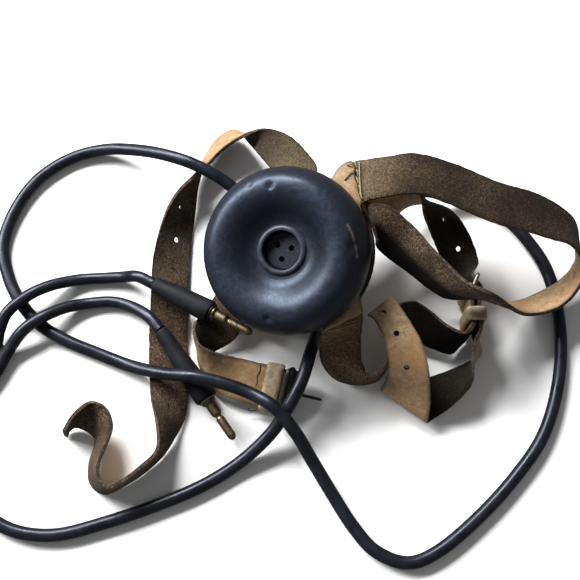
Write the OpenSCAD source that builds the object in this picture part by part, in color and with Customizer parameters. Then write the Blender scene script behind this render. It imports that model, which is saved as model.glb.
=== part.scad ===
// Aviation headset with one rubber-cushioned receiver, a leather strap harness and a forked cord.
// Frame: +Z up, millimetres, standing on Z = 0; the harness's box is centred on the origin.

/* [Receiver] */
// Outside diameter of the rubber ear cushion
cushion_d = 76; // [70:1:82]
// Depth of the rubber ear cushion, back edge to crest
cushion_depth = 24; // [22:1:26]
// Outside diameter of the moulded receiver case
case_d = 66; // [64:1:68]
// Depth of the receiver case behind the cushion
case_depth = 20; // [18:1:21]
// Wall of the receiver case
case_wall = 2.5; // [2:0.5:3]
// Diameter of the ear opening in the cushion
ear_opening_d = 17; // [16:1:20]
// Diameter of each sound hole in the receiver cap
sound_hole_d = 2.6; // [2:0.2:3.2]
// Lean of the receiver's face away from straight up, in degrees
lean = 24; // [22:1:26]

/* [Straps] */
// Thickness of the strap leather
leather = 2.2; // [1.8:0.1:2.4]
// Wall of the leather keeper loops
keeper_wall = 1.4; // [1.2:0.1:2]
// Length of the chin buckle's keeper loop along its strap
keeper_len = 8; // [7:0.5:10]

/* [Buckles] */
// Diameter of the buckle wire
wire_d = 1.8; // [1.6:0.1:2]
// Inside length of a buckle frame, along its bar
buckle_inside = 21; // [21:0.5:23]
// Reach of the fastened buckle's frame, bar to bar
buckle_reach = 8; // [7.5:0.5:9]
// Reach of the chin buckle's frame, bar to roller
chin_reach = 6; // [5.5:0.5:7]

/* [Cords and plugs] */
// Diameter of the main cord
cord_d = 6; // [5.6:0.1:6.2]
// Diameter of the two leads
lead_d = 5.6; // [5:0.1:5.8]
// Diameter of a plug's contact pin
pin_d = 4; // [3.8:0.1:4.2]
// Largest diameter of a plug's rubber sleeve
sleeve_d = 11; // [10:0.5:12]

/* [Hidden] */

// Where the laid-out object stands, so that the harness's box is centred on the origin
LAY = [-17.4, 26.9, 0];

// Receiver: where the middle of its back stands, and the compass direction that its face leans to
CASE_AT = [4.5, -8.2, 20.5];
LEAN_TO = 228;

CUSHION_BACK = 14;
LIP_D = 21.6;
LIP_HEIGHT = 2.2;
DISH_FLOOR = 8;
CAP_T = 3;
CAP_BOSS_D = 16;
CAP_BOSS_TOP = 27;
SOUND_HOLE_RING = 3.8;
COLLAR_Z = 4;
COLLAR_D = 74;
STRAP_HALF = 10;
PRONG_SLOT = 3;
CHAPE_WEB = 1.1;
CLEAR = 0.3;
SIDES = 10;
STRAP_STEPS = 4;
LEATHER_BROWN = "#5b4632";
LEATHER_TAN = "#a8936c";

// The gland leaves the case's back on this bearing, at this radius, slanting outwards
GLAND_BEARING = -18;
GLAND_R = 21;
GLAND_SLANT = 127;
BOSS_LEN = 8.5;
GLAND_LEN = 18.5;

// Strap routes: each station is its middle and the way across the strap, edge to edge
HEADBAND = [
    [[25.4, 10.3, 44.6], [13.5, -14.5, -1]], [[29.1, 16, 45.5], [7, -19, 0]],
    [[44, 20, 44], [-2, -20, 0]], [[58, 22, 43], [-1, -20, 0]], [[75, 17, 42], [-5, -19, 0]],
    [[93, 9, 41], [-5, -19, 0]], [[109, 5, 39], [-6, -19, 1]], [[122, 1, 35], [-8, -17, 5]],
    [[132, -2, 28], [-6, -15, 11]], [[137, -8, 18], [-2, -14, 14]],
    [[136, -17, 15.5], [-2, -15, 11]], [[127, -26.5, 13.5], [-4, -16, 10]],
    [[111, -33, 14], [-2, -12, 15]], [[98, -36, 27], [0, -8, 18]], [[86.5, -36, 38], [1, -6, 19]],
    [[74, -33.5, 38], [3.6, -1, 19.2]], [[66, -27, 37.5], [4.6, 2.4, 18.9]],
    [[58, -18.5, 37], [5.8, 4.5, 18.2]], [[50, -9.5, 37], [9, 9.4, 14.6]],
    [[42, -3, 40], [5, 15, 11.5]], [[36.8, -1.5, 42.5], [-5, 18.8, 2]]
];
ADJUSTING = [
    [[34.5, 6, 34], [-8, 15, 2]], [[45, 11, 32], [-2, 17, 4]], [[54.5, 15.5, 31.3], [1, 4, 17.5]],
    [[61.5, 14.3, 32], [-3, -3, 17]], [[68, 10, 28], [-12, -8, 11]], [[74, 4, 22], [-16, -6, 4]],
    [[79, -5, 17], [-18, -1, 1]], [[82, -13, 14], [-12, 1, -13]], [[83.6, -19, 12.8], [-3, 1, -18]],
    [[89, -26.3, 12.6], [0, 0, -18]], [[87.7, -32.5, 12.6], [0, 0, -18]],
    [[87.4, -38, 12.6], [0, 0, -18]], [[87.4, -45.5, 12.4], [0, 0, -18]],
    [[87.4, -51, 11.4], [6, 1, -17]], [[86, -57, 10], [5, 5, -16]], [[81, -64, 9], [-4, 9, -14]],
    [[74, -69, 7], [-9, 12, -10]], [[66, -73, 4], [-12, 15, -3]],
    [[58, -76, 2.2], [-17, 15, 0]], [[53, -78, 6], [-21, 15, 0]], [[54, -73, 13], [-20, 11, 0]],
    [[53.5, -65, 23.5], [-18, 6, 0]], [[51, -54.5, 28], [-18, 5, 0]], [[47, -45, 28], [-17, 3, 0]],
    [[41, -36, 27], [-12, -11, 7]]
];
BUCKLE_STRAP = [
    [[24.4, -38.3, 25.8], [-15, -11, -8]], [[23.5, -44.1, 25], [-19, -8, 0]],
    [[23, -49, 21], [-19, -3, -3]], [[23, -57, 17], [-18, 1, -8]], [[25, -62, 13], [-16, 1, -12]],
    [[29, -66, 11], [-12, 1, -16]], [[35, -67, 11], [-5, 0, -19]], [[41, -65, 11], [-1, 0, -20]],
    [[45, -59, 11], [0, 0, -20]], [[46, -49, 11], [2, -6, -18]], [[50, -41, 11], [2, -13, -14]],
    [[58, -39, 11], [1, -16, -12]], [[66, -43, 11], [3, -15, -13]], [[74, -48, 11.5], [4, -9, -17]],
    [[80, -48, 12], [1, -1, -20]], [[84, -44, 12.6], [0, 0, -20]], [[84, -37, 12.6], [0, 0, -20]],
    [[84, -30.3, 12.6], [0, 0, -20]]
];
CHIN = [
    [[3.2, 21.8, 40.4], [16.5, -2, 4]], [[3.5, 27.5, 38.8], [17, 0, 3.5]],
    [[-2, 35, 34], [13, 9, 8]], [[-9, 46, 25], [11, 6, 13]], [[-17, 55, 16], [6, -1, 17]],
    [[-27, 58, 11], [1, -12, 13]], [[-35, 54, 9], [1, -14, 11]], [[-41, 47, 8], [0, -14, 11]],
    [[-46, 38, 9], [-3, -11, 14]], [[-50, 29, 9.5], [-6, -6, 16]], [[-53, 20, 8.5], [-11, -4, 14]],
    [[-56, 8, 5.5], [-15, -2, 9]], [[-58, -8, 2.8], [-18, 0, 3]], [[-58, -27, 2.3], [-18, 0, 2]],
    [[-58, -45, 2.3], [-18, 0, 2]], [[-57, -62, 2.5], [-18, 1, 2]], [[-56, -75, 4.5], [-16, 0, 7]],
    [[-55, -85, 8], [-11, -2, 14]], [[-56, -94, 10.2], [-5, -4, 17]],
    [[-59, -101, 10.4], [-1, -2, 18]], [[-65, -107, 10.4], [0, -1, 18]],
    [[-73, -113, 10.4], [1, -1, 18]], [[-82, -117, 10.4], [4, 1, 17]],
    [[-87, -113, 10.4], [7, 0, 17]], [[-88, -106, 10.4], [7, -2, 16]],
    [[-86, -98, 9.8], [8, -1, 16]], [[-85, -91, 9], [10, 3, 14]], [[-89, -85, 8.5], [11, 8, 12]],
    [[-95, -83, 9], [9, 9, 13]], [[-100, -87, 9.5], [6, 5, 16]], [[-102, -92, 10.2], [3, 0, 18]]
];
CHIN_BUCKLE_STRAP = [
    [[-25.5, -29.5, 14.8], [-12, 16, 2]], [[-28.5, -33, 10], [-12, 16, 1]],
    [[-34, -40, 6], [-14, 14, 1]], [[-41, -47.5, 9], [-7, 9, 15]],
    [[-42.5, -53.5, 11.2], [1, 2, 19]], [[-38.5, -59.5, 11], [3, 8, 18]],
    [[-32, -63.8, 9.6], [4, 14, 13]], [[-24, -66.4, 8.6], [4.6, 17, 9]],
    [[-17, -68.1, 8.4], [4.6, 17, 9]], [[-10, -69.8, 8.4], [4.6, 17, 9]],
    [[-3.8, -71.3, 8.4], [4.6, 17, 9]]
];

// Cord routes, along the middle of each cord
CORD_ROUTE = [
    [-141, -66, 3.8], [-147, -79, 3], [-150, -95, 3], [-148, -111, 3], [-139, -125, 3],
    [-124, -134, 3], [-105, -136, 3], [-84, -131, 3], [-63, -124, 3], [-41, -115, 3], [-23, -104, 4],
    [-9, -92, 9.5], [-1, -81, 15.5], [5, -70, 18.5], [9, -57, 17], [12, -44, 9], [11, -30, 3], [5, -12, 3],
    [-5, 4, 6], [-18, 18, 13], [-31, 29, 18], [-46, 37, 21], [-62, 44, 18], [-78, 50, 11],
    [-94, 53, 5], [-111, 49, 3], [-127, 37, 3], [-137, 20, 3], [-141, 2, 3], [-137, -14, 3],
    [-130, -27, 3], [-120, -38, 3], [-107, -46, 3], [-90, -53, 3], [-75, -59, 5], [-60, -64, 12],
    [-46, -67, 18.5], [-32, -70, 19], [-18, -75, 19], [-7, -82, 21.5], [2, -92, 18], [10, -104, 10],
    [19, -118, 4], [28, -132, 3], [38, -143, 3], [52, -148, 3], [66, -143, 3], [84, -129, 3],
    [102, -111, 3], [117, -91, 3], [126, -66, 3], [129, -40, 3], [126, -14, 3], [118, 3, 3],
    [106, 17, 3], [91, 24, 4], [76, 27, 9], [62, 25.5, 15], [52, 20.6, 19.6], [43.6, 15.5, 22.2]
];
LEAD_A_ROUTE = [
    [-138, -43, 6], [-134, -34, 8.8], [-125, -26, 9.4], [-115, -20, 7], [-103, -16, 3.4],
    [-91, -15, 3], [-81, -15, 5], [-73, -16.6, 10.6], [-65, -20.7, 12]
];
LEAD_B_ROUTE = [
    [-132, -50, 5], [-126, -43, 8.6], [-118, -37, 9.4], [-108, -31, 6], [-98, -28, 3.2],
    [-86, -27, 3], [-76, -30, 5], [-67, -36, 8.5], [-61, -43, 9.9]
];

// Plugs: where each sleeve starts, its compass direction and its pitch
PLUG_A_AT = [-65, -20.7, 12];
PLUG_A_TURN = [8, -29];
PLUG_A_SLEEVE = 33;
PLUG_B_AT = [-61, -43, 9.9];
PLUG_B_TURN = [-4, -55];
PLUG_B_SLEEVE = 40;
PIN_LEN = 22;

// Buckles: each bar's middle, the way the frame reaches from it and the way along the bar
FASTENED_AT = [84, -27, 12.6];
FASTENED_AXES = [[0.42, 0.907, 0], [0, 0, 1]];
CHIN_AT = [-0.4, -72.2, 8.4];
CHIN_AXES = [[0.97, -0.2425, 0], [4.6, 17, 9]];
CHIN_KEEPER_AT = [-8.5, -70.2, 8.4];
CHIN_FRAME_BACK = 110;
FASTENED_KEEPER_AT = [85.7, -38.6, 12.6];

// --- small functions ---------------------------------------------------------------------------

function unit(v) = v / norm(v);

// A point on the smooth curve through p, a fraction u past point i
function smooth(p, i, u) =
    let (n = len(p), a = i > 0 ? p[i - 1] : 2 * p[0] - p[1], b = p[i], c = p[i + 1],
         d = i + 2 < n ? p[i + 2] : 2 * p[n - 1] - p[n - 2])
    0.5 * (2 * b + (c - a) * u + (2 * a - 5 * b + 4 * c - d) * u * u + (3 * b - a - 3 * c + d) * u * u * u);

function curve(p, steps) = [
    for (i = [0 : len(p) - 2], k = [0 : steps - 1]) smooth(p, i, k / steps),
    p[len(p) - 1]
];

function heading(c, i) = unit(c[min(i + 1, len(c) - 1)] - c[max(i - 1, 0)]);

// A frame carried along a curve without twist: the side vector at each point
function sides(c, i = 0, found = []) =
    i == len(c) ? found :
    let (t = heading(c, i), last = i == 0 ? [0, 0, 1] : found[i - 1], s = unit(last - (last * t) * t))
    sides(c, i + 1, concat(found, [s]));

// --- shared shapes -----------------------------------------------------------------------------

// A closed tube of equal rings: rings is a list of lists of points
module skin(rings) {
    n = len(rings[0]);
    last = len(rings) - 1;
    points = [for (r = rings, p = r) p];
    walls = [
        for (i = [0 : last - 1], k = [0 : n - 1])
            let (a = i * n + k, b = i * n + (k + 1) % n, c = a + n, d = b + n)
            each [[a, b, c], [b, d, c]]
    ];
    ends = [[for (k = [n - 1 : -1 : 0]) k], [for (k = [0 : n - 1]) last * n + k]];
    polyhedron(points = points, faces = concat(walls, ends), convexity = 10);
}

// A flat strap along its stations
module strap(stations) {
    mid = curve([for (s = stations) s[0]], STRAP_STEPS);
    across = curve([for (s = stations) s[1]], STRAP_STEPS);
    skin([
        for (i = [0 : len(mid) - 1])
            let (up = unit(cross(heading(mid, i), across[i])) * leather / 2, w = across[i] / 2)
            [mid[i] - w - up, mid[i] - w + up, mid[i] + w + up, mid[i] + w - up]
    ]);
}

// A round cord along its route, one ring at each place
module cord(route, d) {
    side = sides(route);
    skin([
        for (i = [0 : len(route) - 1])
            let (s = side[i], b = cross(heading(route, i), s))
            [for (k = [0 : SIDES - 1]) let (a = -k * 360 / SIDES) route[i] + d / 2 * (cos(a) * s + sin(a) * b)]
    ]);
}

// Puts children, drawn with X along axes[0] and Y along axes[1], at a place
module placed(at, axes) {
    x = unit(axes[0]);
    y = unit(axes[1] - (axes[1] * x) * x);
    z = cross(x, y);
    rows = [for (i = [0 : 2]) [x[i], y[i], z[i], at[i]]];
    multmatrix(concat(rows, [[0, 0, 0, 1]])) children();
}

module laid() {
    translate(LAY) children();
}

// The receiver's own frame: Z out of the face, X towards the raised side
module receiver() {
    laid() translate(CASE_AT) rotate([0, 0, LEAN_TO]) rotate([0, lean, 0]) rotate([0, 0, 180]) children();
}

module ring(outer_d, inner_d, height) {
    difference() {
        cylinder(h = height, d = outer_d, $fn = 96);
        translate([0, 0, -1]) cylinder(h = height + 2, d = inner_d, $fn = 96);
    }
}

// --- receiver ----------------------------------------------------------------------------------

module ear_cushion() {
    r = cushion_d / 2;
    top = CUSHION_BACK + cushion_depth;
    lip = LIP_D / 2;
    open = ear_opening_d / 2;
    crest = r * 0.74;
    round_r = r - crest;
    floor_z = top - DISH_FLOOR;
    seat = case_d / 2 + 0.1;
    color("#23262f") receiver() rotate_extrude($fn = 120) polygon(concat(
        [[seat, CUSHION_BACK], [r - 2.5, CUSHION_BACK]],
        [for (a = [-30 : 15 : 90])
            [crest + round_r * cos(a), top - cushion_depth * 0.62 * (1 - sin(a))]],
        [for (k = [1 : 10])
            let (u = k / 10)
            [crest - (crest - lip) * u, floor_z + DISH_FLOOR * pow(cos(u * 90), 1.6)]],
        [[lip - 0.4, floor_z + LIP_HEIGHT], [lip - 1.2, floor_z + LIP_HEIGHT + 0.3],
         [open, floor_z + LIP_HEIGHT - 0.6], [open, case_depth + CAP_T + CLEAR],
         [seat - 3, case_depth + CAP_T + CLEAR], [seat - 3, case_depth + 0.1], [seat, case_depth + 0.1]]
    ));
}

module receiver_cap() {
    color("#1c1d22") receiver() difference() {
        union() {
            translate([0, 0, case_depth]) cylinder(h = CAP_T, d = case_d - 6.4, $fn = 96);
            cylinder_from(case_depth, CAP_BOSS_TOP, CAP_BOSS_D);
        }
        translate([0, 0, case_depth - 1]) cylinder(h = CAP_T, d = case_d - 12, $fn = 96);
        for (k = [0 : 2]) rotate([0, 0, 87 + 120 * k])
            translate([SOUND_HOLE_RING, 0, case_depth - 2]) cylinder(h = 12, d = sound_hole_d, $fn = 32);
    }
}

module cylinder_from(z0, z1, d) {
    translate([0, 0, z0]) cylinder(h = z1 - z0, d = d, $fn = 64);
}

module diaphragm() {
    color("silver") receiver() cylinder_from(case_depth - 1.2, case_depth - 0.8, 54);
}

module diaphragm_spacer() {
    color("#8f7a45") receiver() translate([0, 0, case_depth - 0.8]) ring(54, 48, 0.8);
}

// Turns children so that Z runs out along the gland
module at_gland() {
    rotate([0, 0, GLAND_BEARING]) translate([GLAND_R, 0, 0]) rotate([0, GLAND_SLANT, 0]) children();
}

module receiver_case() {
    color("#17181c") receiver() difference() {
        union() {
            cylinder_from(0, case_depth, case_d);
            intersection() {
                at_gland() cylinder(h = BOSS_LEN, d = 13, $fn = 48);
                cylinder_from(-12, 1, 2 * case_d);
            }
        }
        cylinder_from(case_wall, case_depth + 1, case_d - 2 * case_wall - 6.4);
        cylinder_from(case_depth - 1.4, case_depth + 1, 54.4);
        at_gland() translate([0, 0, -8]) cylinder(h = 8 + BOSS_LEN + 1, d = cord_d, $fn = 32);
    }
}

module magnet() {
    color("#6d7076") receiver() translate([0, 0, case_wall]) difference() {
        ring(44, 30, 4.5);
        translate([-3, -30, -1]) cube([6, 20, 8]);
    }
}

module pole_pieces() {
    color("#8d9196") receiver() for (s = [-1, 1]) {
        translate([s * 9 - 2, -6, case_wall]) cube([4, 12, 14]);
        translate([s > 0 ? 11 : -13.5, -6, case_wall]) cube([2.5, 12, 3]);
    }
}

module coil_bobbins() {
    color("#3c3128") receiver() for (s = [-1, 1], z = [case_wall + 5, case_wall + 11])
        translate([s * 9, 0, z]) difference() {
            translate([-5.5, -10, 0]) cube([11, 20, 1]);
            translate([-2.05, -6.05, -1]) cube([4.1, 12.1, 3]);
        }
}

module coil_windings() {
    color("#a0522d") receiver() for (s = [-1, 1]) translate([s * 9, 0, case_wall + 6]) difference() {
        translate([-5, -9.4, 0]) cube([10, 18.8, 5]);
        translate([-2.1, -6.1, -1]) cube([4.2, 12.2, 7]);
    }
}

module terminal_block() {
    color("#4a3323") receiver() translate([-8, 12.5, case_wall + 4.5]) difference() {
        cube([16, 6, 4]);
        for (x = [4, 12]) translate([x, 3, -1]) cylinder(h = 6, d = 2.1, $fn = 24);
    }
}

module terminal_screws() {
    color("#b08d3e") receiver() for (x = [-4, 4]) translate([x, 15.5, case_wall + 4.5]) {
        cylinder(h = 4, d = 2, $fn = 24);
        translate([0, 0, 4]) cylinder(h = 1.4, d = 4, $fn = 24);
    }
}

module magnet_screw() {
    color("#b08d3e") receiver() translate([0, 0, case_wall]) {
        cylinder(h = 8, d = 3, $fn = 32);
        translate([0, 0, 8]) cylinder(h = 1.6, d = 6, $fn = 32);
    }
}

module cord_gland() {
    color("#121317") receiver() at_gland() translate([0, 0, BOSS_LEN])
        cylinder(h = GLAND_LEN, d1 = 12, d2 = 7.4, $fn = 48);
}

// --- harness -----------------------------------------------------------------------------------

module strap_collar() {
    color(LEATHER_TAN) receiver() translate([0, 0, COLLAR_Z]) ring(COLLAR_D, case_d + 0.2, leather);
}

// Rows of waxed thread where the headband and the buckle strap are sewn to the collar
module seam_stitching() {
    color("#cbbd95") receiver() for (bearing = [-6, -100], side = [-1 : 1])
        rotate([0, 0, bearing + side * 9]) translate([35, 0, COLLAR_Z - 0.6])
            cylinder(h = 0.6, d = 1.2, $fn = 16);
}

module headband_strap() {
    color(LEATHER_BROWN) laid() strap(HEADBAND);
}

module adjusting_strap() {
    color(LEATHER_BROWN) laid() strap(ADJUSTING);
}

module buckle_strap() {
    color(LEATHER_BROWN) laid() strap(BUCKLE_STRAP);
}

module chin_strap() {
    color(LEATHER_BROWN) laid() strap(CHIN);
}

module chin_buckle_strap() {
    color(LEATHER_BROWN) laid() strap(CHIN_BUCKLE_STRAP);
}

// --- buckles and keepers -----------------------------------------------------------------------

// A rod along Y through a place on X
module rod(x, length, d) {
    translate([x, -length / 2, 0]) rotate([-90, 0, 0]) cylinder(h = length, d = d, $fn = 32);
}

// A wire frame: its bar lies on Y through the origin and it reaches along +X
module buckle_frame(reach) {
    half = (buckle_inside + wire_d) / 2;
    for (x = [0, reach]) rod(x, 2 * half + wire_d, wire_d);
    for (s = [-1, 1]) translate([-wire_d / 4, s * half, 0]) rotate([0, 90, 0])
        cylinder(h = reach + wire_d / 2, d = wire_d * 0.9, $fn = 32);
}

// A prong with an eye round the bar, lying along +X
module buckle_prong(length) {
    difference() {
        union() {
            rod(0, 2, wire_d + 2);
            translate([1.2, 0, 0]) rotate([0, 90, 0]) cylinder(h = length - 2.2, d = 1.6, $fn = 24);
            translate([length - 1, 0, 0]) rotate([0, 90, 0]) cylinder(h = 1.2, d1 = 1.6, d2 = 0.8, $fn = 24);
        }
        rod(0, 4, wire_d + 0.1);
    }
}

// The folded leather round a buckle's bar, open in the middle for the prong's eye
module chape() {
    r = wire_d / 2 + 0.1 + leather;
    difference() {
        rod(0, 2 * STRAP_HALF, 2 * r);
        rod(0, 2 * STRAP_HALF + 2, wire_d + 0.16);
        translate([CHAPE_WEB - r, -PRONG_SLOT / 2, -r - 1]) cube([2 * r, PRONG_SLOT, 2 * r + 2]);
    }
}

// A leather loop round a strap that is wide along Y and lies in the XY plane
module keeper(inside_w, inside_t, length) {
    difference() {
        cube([length, inside_w + 2 * keeper_wall, inside_t + 2 * keeper_wall], center = true);
        cube([length + 2, inside_w, inside_t], center = true);
    }
}

module fastened_chape() {
    color(LEATHER_TAN) laid() placed(FASTENED_AT, [[0, 1, 0], [0, 0, 1]]) chape();
}

module fastened_buckle_frame() {
    color("#7d7a70") laid() placed(FASTENED_AT, FASTENED_AXES) buckle_frame(buckle_reach);
}

module fastened_buckle_prong() {
    color("#26241f") laid() placed(FASTENED_AT, [[-1, 0.15, 0], [0, 0, 1]]) buckle_prong(13);
}

module fastened_keeper() {
    color(LEATHER_TAN) laid() placed(FASTENED_KEEPER_AT, [[0, 1, 0], [0, 0, 1]]) keeper(20.8, 6.4, 6.5);
}

module chin_chape() {
    color(LEATHER_TAN) laid() placed(CHIN_AT, CHIN_AXES) chape();
}

// Turns children back from the chin buckle's bar over its strap
module folded_back() {
    laid() placed(CHIN_AT, CHIN_AXES) rotate([0, -CHIN_FRAME_BACK, 0]) children();
}

module chin_buckle_frame() {
    color("#7d7a70") folded_back() buckle_frame(chin_reach);
}

module chin_buckle_roller() {
    color("#2a2926") folded_back() difference() {
        rod(chin_reach, buckle_inside - 1, wire_d + 1.6);
        rod(chin_reach, buckle_inside + 1, wire_d + 0.1);
    }
}

module chin_buckle_prong() {
    color("#7d7a70") laid() placed(CHIN_AT, CHIN_AXES) buckle_prong(15.5);
}

module chin_keeper() {
    color(LEATHER_TAN) laid() placed(CHIN_KEEPER_AT, CHIN_AXES) keeper(20.8, leather + 0.8, keeper_len);
}

// --- cords and plugs ---------------------------------------------------------------------------

module main_cord() {
    color("#15161b") laid() cord(CORD_ROUTE, cord_d);
}

module lead_a() {
    color("#15161b") laid() cord(LEAD_A_ROUTE, lead_d);
}

module lead_b() {
    color("#15161b") laid() cord(LEAD_B_ROUTE, lead_d);
}

// The moulded fork: two legs that run into one trunk
module cord_fork() {
    trunk = CORD_ROUTE[0];
    color("#121317") laid() for (end = [LEAD_A_ROUTE[0], LEAD_B_ROUTE[0]]) hull() {
        translate(trunk) sphere(d = cord_d + 1.6, $fn = 24);
        translate(end) sphere(d = lead_d + 0.8, $fn = 24);
    }
}

// X runs along the plug, from where the lead goes in
module at_plug(at, turn) {
    laid() translate(at) rotate([0, 0, turn[1]]) rotate([0, -turn[0], 0]) rotate([0, 90, 0]) children();
}

module plug_sleeve(length) {
    cylinder(h = length * 0.45, d1 = lead_d + 1, d2 = sleeve_d - 1, $fn = 48);
    translate([0, 0, length * 0.45]) cylinder(h = length * 0.45, d1 = sleeve_d - 1, d2 = sleeve_d, $fn = 48);
    translate([0, 0, length * 0.9]) cylinder(h = length * 0.1, d1 = sleeve_d, d2 = sleeve_d - 2, $fn = 48);
}

module plug_pin() {
    cylinder(h = 2, d = 7, $fn = 48);
    translate([0, 0, 2]) cylinder(h = 6, d = pin_d + 1, $fn = 48);
    translate([0, 0, 8]) cylinder(h = 2, d1 = pin_d + 1, d2 = pin_d - 1, $fn = 48);
    translate([0, 0, 10]) cylinder(h = PIN_LEN - 12, d = pin_d, $fn = 48);
    translate([0, 0, PIN_LEN - 2]) cylinder(h = 2, d1 = pin_d, d2 = pin_d - 2, $fn = 48);
}

module plug_a_sleeve() {
    color("#17181c") at_plug(PLUG_A_AT, PLUG_A_TURN) plug_sleeve(PLUG_A_SLEEVE);
}

module plug_a_pin() {
    color("#8a7448") at_plug(PLUG_A_AT, PLUG_A_TURN) translate([0, 0, PLUG_A_SLEEVE]) plug_pin();
}

module plug_b_sleeve() {
    color("#17181c") at_plug(PLUG_B_AT, PLUG_B_TURN) plug_sleeve(PLUG_B_SLEEVE);
}

module plug_b_pin() {
    color("#8a7448") at_plug(PLUG_B_AT, PLUG_B_TURN) translate([0, 0, PLUG_B_SLEEVE]) plug_pin();
}

// --- every node, one line each -----------------------------------------------------------------
ear_cushion();
receiver_cap();
diaphragm();
diaphragm_spacer();
receiver_case();
magnet();
pole_pieces();
coil_bobbins();
coil_windings();
terminal_block();
terminal_screws();
magnet_screw();
cord_gland();
strap_collar();
seam_stitching();
headband_strap();
adjusting_strap();
buckle_strap();
chin_strap();
chin_buckle_strap();
fastened_chape();
fastened_buckle_frame();
fastened_buckle_prong();
fastened_keeper();
chin_chape();
chin_buckle_frame();
chin_buckle_roller();
chin_buckle_prong();
chin_keeper();
main_cord();
cord_fork();
lead_a();
lead_b();
plug_a_sleeve();
plug_a_pin();
plug_b_sleeve();
plug_b_pin();
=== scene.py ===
"""Aviation headset: one rubber-cushioned earphone in a leather strap harness, with a forked cord.

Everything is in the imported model's own frame. Places are in millimetres, as in the CAD source,
before the lay-out offset LAY is added; point() turns them into metres in that frame.
"""

import math

import bmesh
import bpy
from mathutils import Matrix, Vector, noise


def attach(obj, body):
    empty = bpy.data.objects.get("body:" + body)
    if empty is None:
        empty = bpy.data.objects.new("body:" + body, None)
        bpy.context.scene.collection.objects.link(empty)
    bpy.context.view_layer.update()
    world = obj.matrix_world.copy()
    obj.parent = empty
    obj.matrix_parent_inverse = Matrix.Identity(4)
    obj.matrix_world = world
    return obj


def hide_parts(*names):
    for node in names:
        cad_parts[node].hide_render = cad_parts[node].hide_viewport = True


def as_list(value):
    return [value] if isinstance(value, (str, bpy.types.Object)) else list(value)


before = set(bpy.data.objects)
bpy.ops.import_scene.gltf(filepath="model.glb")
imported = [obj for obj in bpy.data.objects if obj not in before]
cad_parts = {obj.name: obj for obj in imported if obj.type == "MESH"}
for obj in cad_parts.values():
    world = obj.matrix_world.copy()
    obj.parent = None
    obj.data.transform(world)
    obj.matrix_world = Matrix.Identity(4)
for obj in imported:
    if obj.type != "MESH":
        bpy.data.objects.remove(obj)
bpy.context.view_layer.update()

MM = 0.001
LAY = Vector((-17.4, 26.9, 0))

# --- driving sizes, as in the CAD source, in millimetres ---
LEATHER = 2.2
WIRE_D = 1.8
CORD_D = 6.0
LEAD_D = 5.6
CASE_D = 66.0
CASE_DEPTH = 20.0
CASE_INSIDE_R = 27.3
COLLAR_Z = 4.0

CASE_AT = Vector((4.5, -8.2, 20.5))
LEAN_TO = 228
LEAN = 24

# Strap routes: each station is its middle, then the way across the strap, edge to edge
HEADBAND = [
    (25.4, 10.3, 44.6, 13.5, -14.5, -1), (29.1, 16, 45.5, 7, -19, 0), (44, 20, 44, -2, -20, 0),
    (58, 22, 43, -1, -20, 0), (75, 17, 42, -5, -19, 0), (93, 9, 41, -5, -19, 0),
    (109, 5, 39, -6, -19, 1), (122, 1, 35, -8, -17, 5), (132, -2, 28, -6, -15, 11),
    (137, -8, 18, -2, -14, 14), (136, -17, 15.5, -2, -15, 11), (127, -26.5, 13.5, -4, -16, 10),
    (111, -33, 14, -2, -12, 15), (98, -36, 27, 0, -8, 18), (86.5, -36, 38, 1, -6, 19),
    (74, -33.5, 38, 3.6, -1, 19.2), (66, -27, 37.5, 4.6, 2.4, 18.9),
    (58, -18.5, 37, 5.8, 4.5, 18.2), (50, -9.5, 37, 9, 9.4, 14.6), (42, -3, 40, 5, 15, 11.5),
    (36.8, -1.5, 42.5, -5, 18.8, 2),
]
ADJUSTING = [
    (34.5, 6, 34, -8, 15, 2), (45, 11, 32, -2, 17, 4), (54.5, 15.5, 31.3, 1, 4, 17.5),
    (61.5, 14.3, 32, -3, -3, 17), (68, 10, 28, -12, -8, 11), (74, 4, 22, -16, -6, 4),
    (79, -5, 17, -18, -1, 1), (82, -13, 14, -12, 1, -13), (83.6, -19, 12.8, -3, 1, -18),
    (89, -26.3, 12.6, 0, 0, -18), (87.7, -32.5, 12.6, 0, 0, -18), (87.4, -38, 12.6, 0, 0, -18),
    (87.4, -45.5, 12.4, 0, 0, -18), (87.4, -51, 11.4, 6, 1, -17), (86, -57, 10, 5, 5, -16),
    (81, -64, 9, -4, 9, -14), (74, -69, 7, -9, 12, -10), (66, -73, 4, -12, 15, -3),
    (58, -76, 2.2, -17, 15, 0), (53, -78, 6, -21, 15, 0), (54, -73, 13, -20, 11, 0),
    (53.5, -65, 23.5, -18, 6, 0), (51, -54.5, 28, -18, 5, 0), (47, -45, 28, -17, 3, 0),
    (41, -36, 27, -12, -11, 7),
]
BUCKLE_STRAP = [
    (24.4, -38.3, 25.8, -15, -11, -8), (23.5, -44.1, 25, -19, -8, 0), (23, -49, 21, -19, -3, -3),
    (23, -57, 17, -18, 1, -8), (25, -62, 13, -16, 1, -12), (29, -66, 11, -12, 1, -16),
    (35, -67, 11, -5, 0, -19), (41, -65, 11, -1, 0, -20), (45, -59, 11, 0, 0, -20),
    (46, -49, 11, 2, -6, -18), (50, -41, 11, 2, -13, -14), (58, -39, 11, 1, -16, -12),
    (66, -43, 11, 3, -15, -13), (74, -48, 11.5, 4, -9, -17), (80, -48, 12, 1, -1, -20),
    (84, -44, 12.6, 0, 0, -20), (84, -37, 12.6, 0, 0, -20), (84, -30.3, 12.6, 0, 0, -20),
]
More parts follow.
